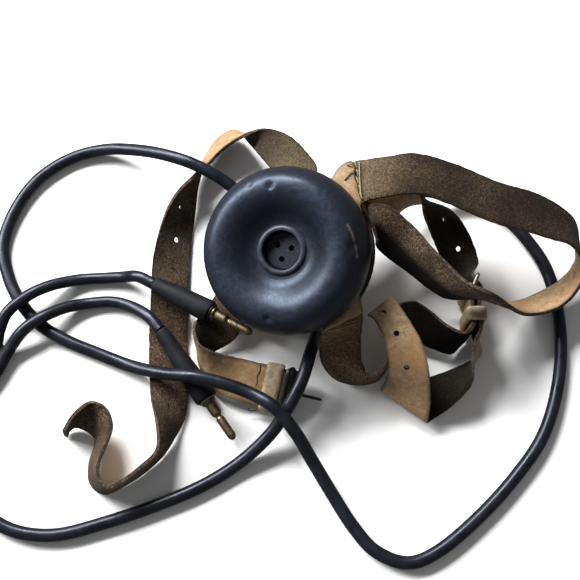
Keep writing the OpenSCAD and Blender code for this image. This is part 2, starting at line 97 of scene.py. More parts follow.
CHIN = [
    (3.2, 21.8, 40.4, 16.5, -2, 4), (3.5, 27.5, 38.8, 17, 0, 3.5), (-2, 35, 34, 13, 9, 8),
    (-9, 46, 25, 11, 6, 13), (-17, 55, 16, 6, -1, 17), (-27, 58, 11, 1, -12, 13),
    (-35, 54, 9, 1, -14, 11), (-41, 47, 8, 0, -14, 11), (-46, 38, 9, -3, -11, 14),
    (-50, 29, 9.5, -6, -6, 16), (-53, 20, 8.5, -11, -4, 14), (-56, 8, 5.5, -15, -2, 9),
    (-58, -8, 2.8, -18, 0, 3), (-58, -27, 2.3, -18, 0, 2), (-58, -45, 2.3, -18, 0, 2),
    (-57, -62, 2.5, -18, 1, 2), (-56, -75, 4.5, -16, 0, 7), (-55, -85, 8, -11, -2, 14),
    (-56, -94, 10.2, -5, -4, 17), (-59, -101, 10.4, -1, -2, 18), (-65, -107, 10.4, 0, -1, 18),
    (-73, -113, 10.4, 1, -1, 18), (-82, -117, 10.4, 4, 1, 17), (-87, -113, 10.4, 7, 0, 17),
    (-88, -106, 10.4, 7, -2, 16), (-86, -98, 9.8, 8, -1, 16), (-85, -91, 9, 10, 3, 14),
    (-89, -85, 8.5, 11, 8, 12), (-95, -83, 9, 9, 9, 13), (-100, -87, 9.5, 6, 5, 16),
    (-102, -92, 10.2, 3, 0, 18),
]
CHIN_BUCKLE_STRAP = [
    (-25.5, -29.5, 14.8, -12, 16, 2), (-28.5, -33, 10, -12, 16, 1), (-34, -40, 6, -14, 14, 1),
    (-41, -47.5, 9, -7, 9, 15), (-42.5, -53.5, 11.2, 1, 2, 19), (-38.5, -59.5, 11, 3, 8, 18),
    (-32, -63.8, 9.6, 4, 14, 13), (-24, -66.4, 8.6, 4.6, 17, 9), (-17, -68.1, 8.4, 4.6, 17, 9),
    (-10, -69.8, 8.4, 4.6, 17, 9), (-3.8, -71.3, 8.4, 4.6, 17, 9),
]

# Punched holes: how far along the strap, and how far across it from the middle (-1 to 1)
CHIN_HOLES = [(107.5, 0.2), (124, -0.1), (140.5, -0.1), (159.5, 0), (208.5, 0.1)]
ADJUSTING_HOLES = [(13, 0.5), (44.5, -0.1), (60, -0.1), (102, 0), (182, 0.1), (197, 0.2),
                   (210, 0.2)]
HOLE_D = 2.6
PUNCH_REACH = 4

# Cord routes, along the middle of each cord
CORD_ROUTE = [
    (-141, -66, 3.8), (-147, -79, 3), (-150, -95, 3), (-148, -111, 3), (-139, -125, 3),
    (-124, -134, 3), (-105, -136, 3), (-84, -131, 3), (-63, -124, 3), (-41, -115, 3),
    (-23, -104, 4), (-9, -92, 9.5), (-1, -81, 15.5), (5, -70, 18.5), (9, -57, 17), (12, -44, 9),
    (11, -30, 3), (5, -12, 3), (-5, 4, 6), (-18, 18, 13), (-31, 29, 18), (-46, 37, 21),
    (-62, 44, 18), (-78, 50, 11), (-94, 53, 5), (-111, 49, 3), (-127, 37, 3), (-137, 20, 3),
    (-141, 2, 3), (-137, -14, 3), (-130, -27, 3), (-120, -38, 3), (-107, -46, 3), (-90, -53, 3),
    (-75, -59, 5), (-60, -64, 12), (-46, -67, 18.5), (-32, -70, 19), (-18, -75, 19),
    (-7, -82, 21.5), (2, -92, 18), (10, -104, 10), (19, -118, 4), (28, -132, 3), (38, -143, 3),
    (52, -148, 3), (66, -143, 3), (84, -129, 3), (102, -111, 3), (117, -91, 3), (126, -66, 3),
    (129, -40, 3), (126, -14, 3), (118, 3, 3), (106, 17, 3), (91, 24, 4), (76, 27, 9),
    (62, 25.5, 15), (52, 20.6, 19.6), (43.6, 15.5, 22.2),
]
LEAD_A_ROUTE = [
    (-138, -43, 6), (-134, -34, 8.8), (-125, -26, 9.4), (-115, -20, 7), (-103, -16, 3.4),
    (-91, -15, 3), (-81, -15, 5), (-73, -16.6, 10.6), (-65, -20.7, 12),
]
LEAD_B_ROUTE = [
    (-132, -50, 5), (-126, -43, 8.6), (-118, -37, 9.4), (-108, -31, 6), (-98, -28, 3.2),
    (-86, -27, 3), (-76, -30, 5), (-67, -36, 8.5), (-61, -43, 9.9),
]

# Plugs: where each sleeve starts, its pitch and compass direction, and its sleeve's length
PLUG_A = ((-65, -20.7, 12), (8, -29), 33)
PLUG_B = ((-61, -43, 9.9), (-4, -55), 40)

# Buckles: each bar's middle, the way the frame reaches from it and the way along the bar
FASTENED_AT = Vector((84, -27, 12.6))
FASTENED_REACH = 8.0
CHIN_AT = Vector((-0.4, -72.2, 8.4))
CHIN_AXES = ((0.97, -0.2425, 0), (4.6, 17, 9))
CHIN_REACH = 6.0
CHIN_FRAME_BACK = 110
BUCKLE_INSIDE = 21.0
CHIN_KEEPER_AT = (-8.5, -70.2, 8.4)
FASTENED_KEEPER_AT = (85.7, -38.6, 12.6)
KEEPER_INSIDE_W = 20.8
KEEPER_WALL = 1.4

# --- camera ---
CAMERA_AIM = Vector((0, -20, 0))
CAMERA_BACK = 463.0
CAMERA_ELEVATION = 72
CAMERA_LENS = 58.97


def point(p):
    """A place in millimetres before the lay-out, as a vector in metres in the model's frame."""
    return (Vector(p) + LAY) * MM


def make_camera():
    data = bpy.data.cameras.new("camera")
    data.lens = CAMERA_LENS
    data.sensor_width = 36
    camera = bpy.data.objects.new("camera", data)
    up = math.radians(CAMERA_ELEVATION)
    camera.location = point(CAMERA_AIM + CAMERA_BACK * Vector((0, -math.cos(up), math.sin(up))))
    camera.rotation_euler = (math.radians(90 - CAMERA_ELEVATION), 0, 0)
    bpy.context.scene.collection.objects.link(camera)
    bpy.context.scene.camera = camera


make_camera()


# --- curves ---
def smooth(p, i, u):
    """A point on the Catmull-Rom curve through p, a fraction u past point i."""
    a = p[i - 1] if i > 0 else 2 * p[0] - p[1]
    b, c = p[i], p[i + 1]
    d = p[i + 2] if i + 2 < len(p) else 2 * p[-1] - p[-2]
    return 0.5 * (2 * b + (c - a) * u + (2 * a - 5 * b + 4 * c - d) * u * u
                  + (3 * b - a - 3 * c + d) * u ** 3)


def curve(points, steps):
    p = [Vector(q) for q in points]
    return [smooth(p, i, k / steps) for i in range(len(p) - 1) for k in range(steps)] + [p[-1]]


def headings(path):
    last = len(path) - 1
    return [(path[min(i + 1, last)] - path[max(i - 1, 0)]).normalized() for i in range(len(path))]


def lengths(path):
    """How far along the path each of its points is."""
    found = [0.0]
    for a, b in zip(path, path[1:]):
        found.append(found[-1] + (b - a).length)
    return found


# --- meshes ---
WELD = 1e-7


def add_object(name, mesh):
    obj = bpy.data.objects.new(name, mesh)
    bpy.context.scene.collection.objects.link(obj)
    return obj


def shade_smooth(obj, angle=40):
    """Smooth shading with edges sharper than the angle kept crisp."""
    mesh = obj.data
    mesh.polygons.foreach_set("use_smooth", [True] * len(mesh.polygons))
    mesh.set_sharp_from_angle(angle=math.radians(angle))


def grid_mesh(name, rings, closed=True, capped=True, uvs=None):
    """A tube of equal rings. uvs has one (u, v) for each point."""
    n = len(rings[0])
    mesh = bpy.data.meshes.new(name)
    verts = [v for ring in rings for v in ring]
    faces = []
    span = n if closed else n - 1
    for i in range(len(rings) - 1):
        for k in range(span):
            a, b = i * n + k, i * n + (k + 1) % n
            faces.append((a, b, b + n, a + n))
    if capped and closed:
        faces.append(tuple(range(n - 1, -1, -1)))
        faces.append(tuple(range((len(rings) - 1) * n, len(rings) * n)))
    mesh.from_pydata(verts, [], faces)
    if uvs:
        layer = mesh.uv_layers.new(name="UVMap")
        for poly in mesh.polygons:
            for loop in poly.loop_indices:
                layer.data[loop].uv = uvs[mesh.loops[loop].vertex_index]
    mesh.update()
    return mesh


def settle(mesh, weld=True):
    """Turns the mesh's faces outwards, after merging the points that coincide."""
    bm = bmesh.new()
    bm.from_mesh(mesh)
    if weld:
        bmesh.ops.remove_doubles(bm, verts=bm.verts, dist=WELD)
    bmesh.ops.recalc_face_normals(bm, faces=bm.faces)
    bm.to_mesh(mesh)
    bm.free()


def merge_parts(name, parts):
    """One object out of several, which are removed."""
    bm = bmesh.new()
    for part in parts:
        bm.from_mesh(part.data)
        bpy.data.objects.remove(part)
    mesh = bpy.data.meshes.new(name)
    bm.to_mesh(mesh)
    bm.free()
    return add_object(name, mesh)


def circle(count):
    """The cosine and sine of each of count angles, evenly spaced."""
    return [(math.cos(a), math.sin(a)) for a in (2 * math.pi * k / count for k in range(count))]


def lathe(name, profile, segments=96, closed=False, wobble=None, matrix=None):
    """A turned piece: profile is (radius, height) pairs in millimetres, turned about Z."""
    rings = []
    for r, z in profile:
        ring = [Vector((r * c, r * s, z)) for c, s in circle(segments)]
        rings.append([(wobble(p) if wobble else p) * MM for p in ring])
    if closed:
        rings.append(rings[0])
    mesh = grid_mesh(name, rings, capped=not closed)
    settle(mesh)
    obj = add_object(name, mesh)
    if matrix is not None:
        obj.data.transform(matrix)
    shade_smooth(obj)
    return obj


def sweep(name, path, radius, sides=16, ends=True):
    """A round tube along a path of vectors in metres; radius is a number or a function of 0..1."""
    side = Vector((0, 0, 1))
    rings = []
    total = lengths(path)
    for i, t in enumerate(headings(path)):
        side = (side - side.dot(t) * t).normalized()
        other = t.cross(side)
        r = radius(total[i] / total[-1]) if callable(radius) else radius
        rings.append([path[i] + r * (c * side + s * other) for c, s in circle(sides)])
    mesh = grid_mesh(name, rings, capped=ends)
    obj = add_object(name, mesh)
    shade_smooth(obj, 60)
    return obj


def frame_matrix(at, axes):
    """X along axes[0] and Y along axes[1], at a place in millimetres."""
    x = Vector(axes[0]).normalized()
    y = Vector(axes[1])
    y = (y - y.dot(x) * x).normalized()
    z = x.cross(y)
    rows = [(x[i], y[i], z[i], point(at)[i]) for i in range(3)]
    return Matrix(rows + [(0, 0, 0, 1)])


def turn(degrees, axis):
    return Matrix.Rotation(math.radians(degrees), 4, axis)


RECEIVER = (Matrix.Translation(point(CASE_AT)) @ turn(LEAN_TO, "Z") @ turn(LEAN, "Y")
            @ turn(180, "Z"))


def bake(obj):
    """Gives obj the mesh that its modifiers make, and removes them."""
    bpy.context.view_layer.update()
    shaped = obj.evaluated_get(bpy.context.evaluated_depsgraph_get())
    mesh = bpy.data.meshes.new_from_object(shaped)
    obj.modifiers.clear()
    obj.data = mesh


def cut(obj, cutters):
    """Subtracts the cutter objects from obj and removes them."""
    for cutter in cutters:
        change = obj.modifiers.new("cut", "BOOLEAN")
        change.operation = "DIFFERENCE"
        change.solver = "EXACT"
        change.object = cutter
    bake(obj)
    for cutter in cutters:
        bpy.data.objects.remove(cutter)


# --- materials ---
class Maker:
    """Builds the nodes of one material round a Principled shader."""

    def __init__(self, name):
        self.material = bpy.data.materials.new(name)
        self.material.use_nodes = True
        self.tree = self.material.node_tree
        self.shader = self.tree.nodes["Principled BSDF"]
        self.place = self.tree.nodes.new("ShaderNodeTexCoord").outputs["Object"]

    def feed(self, node, inputs):
        """Gives each named or numbered input a value or a link; None leaves it as it is."""
        for name, value in inputs.items():
            if isinstance(value, bpy.types.NodeSocket):
                self.tree.links.new(value, node.inputs[name])
            elif value is not None:
                node.inputs[name].default_value = value

    def node(self, kind, inputs, **settings):
        node = self.tree.nodes.new("ShaderNode" + kind)
        for name, value in settings.items():
            setattr(node, name, value)
        self.feed(node, inputs)
        return node

    def set(self, **values):
        """Gives the shader its values and returns the material."""
        self.feed(self.shader, {name.replace("_", " "): v for name, v in values.items()})
        return self.material

    def noise(self, scale, detail, rough, twist=0.0):
        return self.node("TexNoise", {"Vector": self.place, "Scale": scale, "Detail": detail,
                                      "Roughness": rough, "Distortion": twist}).outputs[0]

    def cells(self, scale):
        inputs = {"Vector": self.place, "Scale": scale}
        return self.node("TexVoronoi", inputs).outputs["Distance"]

    def ramp(self, value, stops):
        """stops are (place, colour or grey) pairs."""
        node = self.node("ValToRGB", {0: value})
        elements = node.color_ramp.elements
        while len(elements) < len(stops):
            elements.new(0.5)
        for element, (at, colour) in zip(elements, stops):
            element.position = at
            element.color = (*colour, 1) if isinstance(colour, tuple) else (colour,) * 3 + (1,)
        return node.outputs[0]

    def mix(self, amount, a, b):
        a, b = ((*v, 1) if isinstance(v, tuple) else v for v in (a, b))
        return self.node("Mix", {0: amount, 6: a, 7: b}, data_type="RGBA").outputs[2]

    def math(self, what, a, b=None, c=None):
        return self.node("Math", {0: a, 1: b, 2: c}, operation=what).outputs[0]

    def times(self, a, b):
        return self.math("MULTIPLY", a, b)

    def total(self, a, share_a, b, share_b):
        """Two values, each times its share, added up."""
        return self.math("ADD", self.times(a, share_a), self.times(b, share_b))

    def vector(self, what, a, b=None, scale=None):
        node = self.node("VectorMath", {0: a, 1: b, "Scale": scale}, operation=what)
        return node.outputs["Value" if what in ("DISTANCE", "DOT_PRODUCT") else "Vector"]

    def from_line(self, a, b):
        """How far each place is from the line between a and b, in units of 10 mm."""
        line = b - a
        offset = self.vector("SUBTRACT", self.place, a)
        part = self.vector("DOT_PRODUCT", offset, line / line.length_squared)
        part = self.math("MINIMUM", self.math("MAXIMUM", part, 0.0), 1.0)
        return self.math("MULTIPLY", self.vector("DISTANCE", offset,
                                                 self.vector("SCALE", line, scale=part)), 100)

    def bump(self, height, depth_mm, strength=1.0):
        return self.node("Bump", {"Height": height, "Distance": depth_mm * MM,
                                  "Strength": strength}).outputs[0]

    def along_across(self):
        """How far along a strap, in units of 100 mm, and how far across it, from -1 to 1."""
        uv = self.node("UVMap", {}, uv_map="UVMap")
        split = self.node("SeparateXYZ", {0: uv.outputs[0]})
        return split.outputs[0], split.outputs[1]


def suede(name, shades, folded=False):
    """The flesh side of the strap leather: dark brown nap with pale flecks.

    shades says how much painted shade darkens it, at places along the strap in units of 300 mm;
    folded adds painted shade to one half of the strap's far end.
    """
    m = Maker(name)
    along, across = m.along_across()
    fine = m.noise(2300, 3, 0.7)
    nap = m.noise(1100, 4, 0.7, 0.3)
    broad = m.noise(48, 4, 0.6, 0.3)
    grain = m.total(fine, 0.45, nap, 0.55)
    colour = m.ramp(grain, [(0.38, (0.010, 0.007, 0.005)), (0.48, (0.044, 0.030, 0.019)),
                            (0.56, (0.105, 0.074, 0.046)), (0.66, (0.30, 0.22, 0.135))])
    colour = m.mix(m.ramp(broad, [(0.38, 0.65), (0.58, 0.0)]), colour, (0.016, 0.011, 0.008))
    red = m.ramp(m.noise(420, 3, 0.6), [(0.60, 0.0), (0.70, 0.35)])
    colour = m.mix(red, colour, (0.105, 0.045, 0.030))
    # Paler tan near each strap's start (the rubbed mask)
    rubbed = m.ramp(along, [(0.06, 0.55), (0.34, 0.0)])
    colour = m.mix(m.times(rubbed, m.ramp(nap, [(0.35, 0.3), (0.6, 1.0)])), colour,
                   (0.27, 0.20, 0.12))
    edge = m.ramp(m.math("ABSOLUTE", across), [(0.84, 0.0), (0.98, 0.85)])
    colour = m.mix(m.times(edge, m.ramp(nap, [(0.42, 1.0), (0.62, 0.1)])), colour,
                   (0.010, 0.007, 0.005))
    # Painted shade: the strap darkens towards black along the stretches that lie in shadow
    run = m.math("DIVIDE", along, 3.0)
    shade = m.ramp(run, shades)
    if folded:
        # Painted shade on the lower half of the folded far end, which faces away from the light
        lower = m.ramp(m.math("MULTIPLY_ADD", across, 0.5, 0.5), [(0.40, 1.0), (0.58, 0.0)])
        late = m.ramp(run, [(0.58, 0.0), (0.66, 1.0)])
        shade = m.math("MAXIMUM", shade, m.times(lower, late))
    colour = m.mix(shade, colour, (0.005, 0.004, 0.003))
    return m.set(Base_Color=colour, Roughness=0.95, Specular_IOR_Level=0.06, Sheen_Weight=0.02,
                 Sheen_Roughness=0.6, Normal=m.bump(grain, 0.40, 1.0))


def grain_leather():
    """The grain side: tan, pebbled, with a few creases, pores, scuffs and dark stains."""
    m = Maker("grain_leather")
    _, across = m.along_across()
    broad = m.noise(38, 5, 0.6, 0.3)
    fine = m.noise(2200, 3, 0.6)
    mottle = m.noise(420, 5, 0.65, 0.4)
    pebbles = m.noise(1300, 4, 0.75, 0.3)
    colour = m.ramp(mottle, [(0.3, (0.160, 0.100, 0.047)), (0.5, (0.270, 0.180, 0.090)),
                             (0.72, (0.385, 0.290, 0.170))])
    colour = m.mix(m.ramp(broad, [(0.42, 0.0), (0.60, 0.85)]), colour, (0.235, 0.130, 0.055))
    colour = m.mix(m.ramp(pebbles, [(0.50, 0.0), (0.68, 0.55)]), colour, (0.075, 0.048, 0.026))
    colour = m.mix(m.ramp(fine, [(0.6, 0.0), (0.75, 0.4)]), colour, (0.09, 0.055, 0.03))
    edge = m.ramp(m.math("ABSOLUTE", across), [(0.84, 0.0), (1.0, 0.8)])
    colour = m.mix(edge, colour, (0.055, 0.035, 0.022))
    height = m.math("SUBTRACT", m.times(mottle, 0.4), m.times(pebbles, 0.35))
    return m.set(Base_Color=colour, Roughness=m.ramp(mottle, [(0.3, 0.48), (0.7, 0.68)]),
                 Specular_IOR_Level=0.4, Normal=m.bump(height, 0.28, 0.9))


def tan_leather():
    """Small pale leather parts, such as the keepers and the folds round the buckle bars."""
    m = Maker("tan_leather")
    mottle = m.noise(260, 5, 0.6, 0.4)
    broad = m.noise(90, 4, 0.6)
    pores = m.cells(1400)
    colour = m.ramp(mottle, [(0.3, (0.18, 0.130, 0.075)), (0.5, (0.29, 0.225, 0.140)),
                             (0.7, (0.40, 0.335, 0.230))])
    colour = m.mix(m.ramp(broad, [(0.5, 0.0), (0.7, 0.6)]), colour, (0.12, 0.085, 0.05))
    height = m.total(mottle, 0.6, pores, 0.2)
    return m.set(Base_Color=colour, Roughness=0.62, Specular_IOR_Level=0.35,
                 Normal=m.bump(height, 0.30, 0.7))


def on_receiver(x, y, z):
    """A place in the receiver's own frame, in millimetres, as metres in the model's frame."""
    return RECEIVER @ (Vector((x, y, z)) * MM)


def cushion_rubber():
    """Blue-black satin rubber: rubbing and painted sheen on the crest, faint streaks, dust, one
    worn line.
    """
    m = Maker("cushion_rubber")
    broad = m.noise(45, 5, 0.6, 0.6)
    fine = m.noise(900, 4, 0.6)
    streaks = m.noise(160, 6, 0.7, 2.0)
    colour = m.ramp(broad, [(0.35, (0.0040, 0.0045, 0.0070)), (0.65, (0.0075, 0.0090, 0.0140))])
    # Paler blue-grey streaks round the crest (the rubbed mask): partly rubbed rubber, partly
    # painted sheen where the highlights fall
    crest = m.math("DIVIDE", m.from_line(on_receiver(0, 0, -99), on_receiver(0, 0, 99)), 5.0)
    rubbed = m.ramp(crest, [(0.38, 0.05), (0.50, 0.30), (0.62, 0.30), (0.72, 0.05)])
    rubbed = m.times(rubbed, m.ramp(streaks, [(0.40, 0.3), (0.68, 1.0)]))
    colour = m.mix(rubbed, colour, (0.026, 0.035, 0.058))
    colour = m.mix(m.ramp(fine, [(0.62, 0.0), (0.78, 0.25)]), colour, (0.035, 0.040, 0.052))
    rough = m.math("ADD", m.ramp(streaks, [(0.3, 0.28), (0.7, 0.48)]),
                   m.times(fine, 0.06))
    height = m.total(streaks, 0.35, fine, 0.15)
    route = [on_receiver(*p) for p in ((27.6, -17.3, 35.8), (25, -22.5, 35), (22.2, -26.4, 34),
                                       (19.4, -28.8, 33.6))]
    gap = m.from_line(*route[:2])
    for ends in zip(route[1:], route[2:]):
        gap = m.math("MINIMUM", gap, m.from_line(*ends))
    worn = m.times(m.ramp(gap, [(0.02, 1.0), (0.09, 0.0)]),
                  m.ramp(m.noise(420, 4, 0.7), [(0.40, 0.1), (0.56, 0.8)]))
    colour = m.mix(worn, colour, (0.16, 0.115, 0.065))
    return m.set(Base_Color=colour, Roughness=rough, Specular_IOR_Level=0.36,
                 Specular_Tint=(0.62, 0.76, 1.0, 1), Normal=m.bump(height, 0.25, 0.8))


def moulded_black():
    """Polished black moulding, worn to brown where the harness rubs it."""
    m = Maker("moulded_black")
    broad = m.noise(60, 5, 0.6, 0.5)
    fine = m.noise(1200, 3, 0.6)
    colour = m.ramp(fine, [(0.4, (0.006, 0.006, 0.007)), (0.75, (0.016, 0.014, 0.013))])
    worn = m.ramp(broad, [(0.58, 0.0), (0.74, 0.55)])
    colour = m.mix(worn, colour, (0.05, 0.030, 0.016))
    return m.set(Base_Color=colour, Roughness=m.ramp(broad, [(0.3, 0.24), (0.7, 0.42)]),
                 Specular_IOR_Level=0.25, Normal=m.bump(fine, 0.05, 0.4))


def mottled(name, pattern, stops, bump, **looks):
    """One noise gives both colour and bump; pattern is its scale, detail, roughness and twist."""
    m = Maker(name)
    height = m.noise(*pattern)
    return m.set(Base_Color=m.ramp(height, stops), Normal=m.bump(height, *bump), **looks)


def flex_rubber(name, pattern, grain, shades, dust_from, dust, rough, bump, uneven, **looks):
    """Black rubber with dust in its low spots; uneven adds the broad pattern to the bump."""
    m = Maker(name)
    broad = m.noise(*pattern)
    fine = m.noise(grain, 3, 0.6)
    colour = m.ramp(broad, shades)
    colour = m.mix(m.ramp(fine, [(dust_from, 0.0), (0.8, 0.35)]), colour, dust)
    height = m.total(broad, 0.7, fine, 0.12) if uneven else fine
    return m.set(Base_Color=colour, Roughness=m.ramp(broad, [(0.3, rough[0]), (0.7, rough[1])]),
                 Normal=m.bump(height, *bump), **looks)


def metal(name, dark, light, rough, scale=500, metallic=1.0):
    """Tarnished metal: light where it is rubbed, dark and rougher where it isn't."""
    m = Maker(name)
    patina = m.noise(scale, 5, 0.65, 0.5)
    scratches = m.noise(2600, 2, 0.5)
    colour = m.ramp(patina, [(0.34, dark), (0.66, light)])
    return m.set(Base_Color=colour, Metallic=metallic,
                 Roughness=m.ramp(patina, [(0.3, min(1.0, rough * 1.5)), (0.7, rough)]),
                 Normal=m.bump(scratches, 0.03, 0.5))


def floor_material():
    m = Maker("floor")
    tone = m.noise(3, 2, 0.5)
    return m.set(Base_Color=m.ramp(tone, [(0.3, (0.87, 0.87, 0.87)), (0.7, (0.89, 0.89, 0.89))]),
                 Roughness=0.9, Specular_IOR_Level=0.1)


def dark_leather():
    """The collar's leather, blackened by handling."""
    m = Maker("dark_leather")
    pores = m.cells(900)
    broad = m.noise(200, 4, 0.6)
    colour = m.ramp(broad, [(0.35, (0.008, 0.006, 0.005)), (0.7, (0.035, 0.024, 0.016))])
    return m.set(Base_Color=colour,
                 Roughness=0.7, Normal=m.bump(pores, 0.15, 0.6))


DARK_LEATHER = dark_leather()
# Copies of the suede with painted shade along the stretches of each strap that lie in shadow
SUEDE = suede("suede", [(0.0, 0.60), (0.42, 0.50), (0.62, 0.15), (0.85, 0.0)])
BACK_SUEDE = suede("folded_suede", [(0.08, 0.0), (0.15, 0.62), (0.52, 0.58), (0.62, 0.0)],
                   folded=True)
SHADED_SUEDE = suede("shaded_suede", [(0.0, 0.86), (1.0, 0.92)])
LOOP_SUEDE = suede("looped_suede", [(0.20, 0.0), (0.28, 0.93)])
GRAIN = grain_leather()
# The cut edge of the leather, with pale fibres here and there
EDGE = mottled("leather_edge", (900, 4, 0.7, 0.5),
               [(0.35, (0.012, 0.009, 0.007)), (0.52, (0.045, 0.032, 0.022)),
                (0.72, (0.16, 0.12, 0.08))], (0.5,), Roughness=0.9, Specular_IOR_Level=0.2)
TAN = tan_leather()
CUSHION = cushion_rubber()
# The ring round the ear opening, where the rubber has greyed
LIP = mottled("lip_rubber", (240, 5, 0.65, 0.6),
              [(0.3, (0.007, 0.009, 0.014)), (0.7, (0.030, 0.036, 0.052))], (0.12, 0.5),
              Roughness=0.42, Specular_IOR_Level=0.36)
BLACK = moulded_black()
CAP = mottled("cap_moulding", (1500, 4, 0.7),
              [(0.42, (0.006, 0.008, 0.013)), (0.72, (0.026, 0.032, 0.048))], (0.08, 0.6),
              Roughness=0.55, Specular_IOR_Level=0.15)
# The case's rim, rubbed through to a brown gold
WORN = mottled("worn_edge", (140, 5, 0.65, 0.8),
               [(0.38, (0.010, 0.009, 0.009)), (0.52, (0.075, 0.050, 0.026)),
                (0.68, (0.23, 0.165, 0.085))], (0.10, 0.5), Roughness=0.38)
CORD = flex_rubber("cord_rubber", (120, 5, 0.6, 0.4), 1300,
                   [(0.35, (0.0045, 0.005, 0.0075)), (0.68, (0.010, 0.011, 0.016))], 0.62,
                   (0.045, 0.047, 0.055), (0.24, 0.42), (0.35, 0.6), True,
                   Specular_IOR_Level=0.30, Specular_Tint=(0.75, 0.80, 0.95, 1))
# The plugs' moulded sleeves and the fork: duller than the cord
SLEEVE = flex_rubber("sleeve_rubber", (150, 5, 0.65, 0.6), 1500,
                     [(0.35, (0.0045, 0.005, 0.0065)), (0.7, (0.011, 0.012, 0.015))], 0.6,
                     (0.04, 0.04, 0.043), (0.46, 0.66), (0.12, 0.7), False,
                     Specular_IOR_Level=0.08)
BRASS = metal("aged_brass", (0.060, 0.045, 0.028), (0.270, 0.210, 0.135), 0.36, 350)
BRIGHT_BRASS = metal("turned_brass", (0.30, 0.20, 0.08), (0.55, 0.40, 0.17), 0.25)
STEEL = metal("tarnished_steel", (0.10, 0.09, 0.075), (0.42, 0.40, 0.36), 0.32)
DULL_STEEL = metal("dull_steel", (0.060, 0.055, 0.048), (0.26, 0.25, 0.225), 0.42)
BLACKENED = metal("blackened_steel", (0.012, 0.011, 0.010), (0.045, 0.041, 0.036), 0.40, 500, 0.7)
PLAIN_STEEL = metal("ground_steel", (0.30, 0.31, 0.32), (0.52, 0.53, 0.54), 0.30)
COPPER = metal("copper_wire", (0.22, 0.07, 0.03), (0.50, 0.19, 0.08), 0.35)
FIBRE = mottled("pressed_fibre", (1200, 4, 0.6),
                [(0.35, (0.035, 0.018, 0.010)), (0.65, (0.085, 0.045, 0.022))], (0.05,),
                Roughness=0.7)
THREAD = mottled("thread", (1800, 3, 0.6, 1.5),
                 [(0.35, (0.09, 0.065, 0.035)), (0.62, (0.33, 0.265, 0.155))], (0.15,),
                 Roughness=0.7)


def finish_piece(obj, material, body="headset", replaced=()):
    """Gives a piece its material, its body and the CAD nodes that it stands for."""
    if material is not None:
        obj.data.materials.clear()
        obj.data.materials.append(material)
    if replaced:
        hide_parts(*replaced)
    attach(obj, body)
    return obj


# --- cords, fork and plugs ---
def cord_curve(name, route, diameter):
    """A free cord as one open spline that never sinks below the floor."""
    data = bpy.data.curves.new(name, "CURVE")
    data.dimensions = "3D"
    data.bevel_depth = diameter / 2 * MM
    data.bevel_resolution = 7
    data.use_fill_caps = True
    places = curve(route, 8)
    spline = data.splines.new("POLY")
    spline.points.add(len(places) - 1)
    for target, p in zip(spline.points, places):
        target.co = (*point((p.x, p.y, max(p.z, diameter / 2))), 1)
    spline.use_smooth = True
    return add_object(name, data)


def plug_matrix(plug):
    at, (pitch, compass), _ = plug
    return (Matrix.Translation(point(at)) @ turn(compass, "Z") @ turn(-pitch, "Y")
            @ turn(90, "Y"))


def rounded(profile, fillet, steps=3):
    """The profile with each inner corner cut back and rounded by up to the fillet."""
    found = [profile[0]]
    for before, here, after in zip(profile, profile[1:], profile[2:]):
        b, h, a = Vector(before), Vector(here), Vector(after)
        size = min(fillet, 0.45 * (b - h).length, 0.45 * (a - h).length)
        p0 = h + (b - h).normalized() * size
        p1 = h + (a - h).normalized() * size
        for k in range(steps + 1):
            t = k / steps
            found.append(tuple((1 - t) ** 2 * p0 + 2 * t * (1 - t) * h + t * t * p1))
    return found + [profile[-1]]


def make_plug(letter, plug, tapered):
    """A rubber sleeve with a brass contact pin, in the space of the two CAD solids."""
    length = plug[2]
    base = LEAD_D / 2
    if tapered:
        start, shoulder = (base + 0.7, 2.5), (5.4, length - 1)
        sides = ((4.0, 0.35), (4.6, 0.52), (5.1, 0.72), (5.5, 0.9))
    else:
        start, shoulder = (base + 0.9, 2), (5.2, length - 0.6)
        sides = ((4.5, 0.28), (4.9, 0.45), (5.3, 0.8), (5.5, 0.9))
    sleeve = [(0, 0), (base + 0.1, 0), start, *((r, length * part) for r, part in sides),
              shoulder, (4.5, length), (0, length)]
    matrix = plug_matrix(plug)
    tip = matrix @ Matrix.Translation((0, 0, length * MM))
    body = lathe(f"plug_{letter}_grip", rounded(sleeve, 1.6), 48, matrix=matrix)
    finish_piece(body, SLEEVE, replaced=[f"plug_{letter}_sleeve"])
    pin = [(0, 0), (3.5, 0), (3.5, 1.6), (3.1, 2.0), (2.5, 2.2), (2.5, 7.6), (2.2, 8.2), (1.5, 8.8),
           (1.5, 9.8), (2.0, 10.3), (2.0, 19.6), (1.7, 20.8), (1.1, 21.7), (0.3, 22), (0, 22)]
    contact = lathe(f"plug_{letter}_contact", rounded(pin, 0.35), 40, matrix=tip)
    finish_piece(contact, BRASS, replaced=[f"plug_{letter}_pin"])
    band = [(3.3, -0.6), (4.2, -0.6), (4.4, -0.4), (4.4, 0.3), (4.2, 0.5), (3.3, 0.5)]
    washer = lathe(f"plug_{letter}_washer", band, 40, closed=True, matrix=tip)
    finish_piece(washer, BLACKENED if letter == "a" else STEEL)
    return [body, contact, washer]


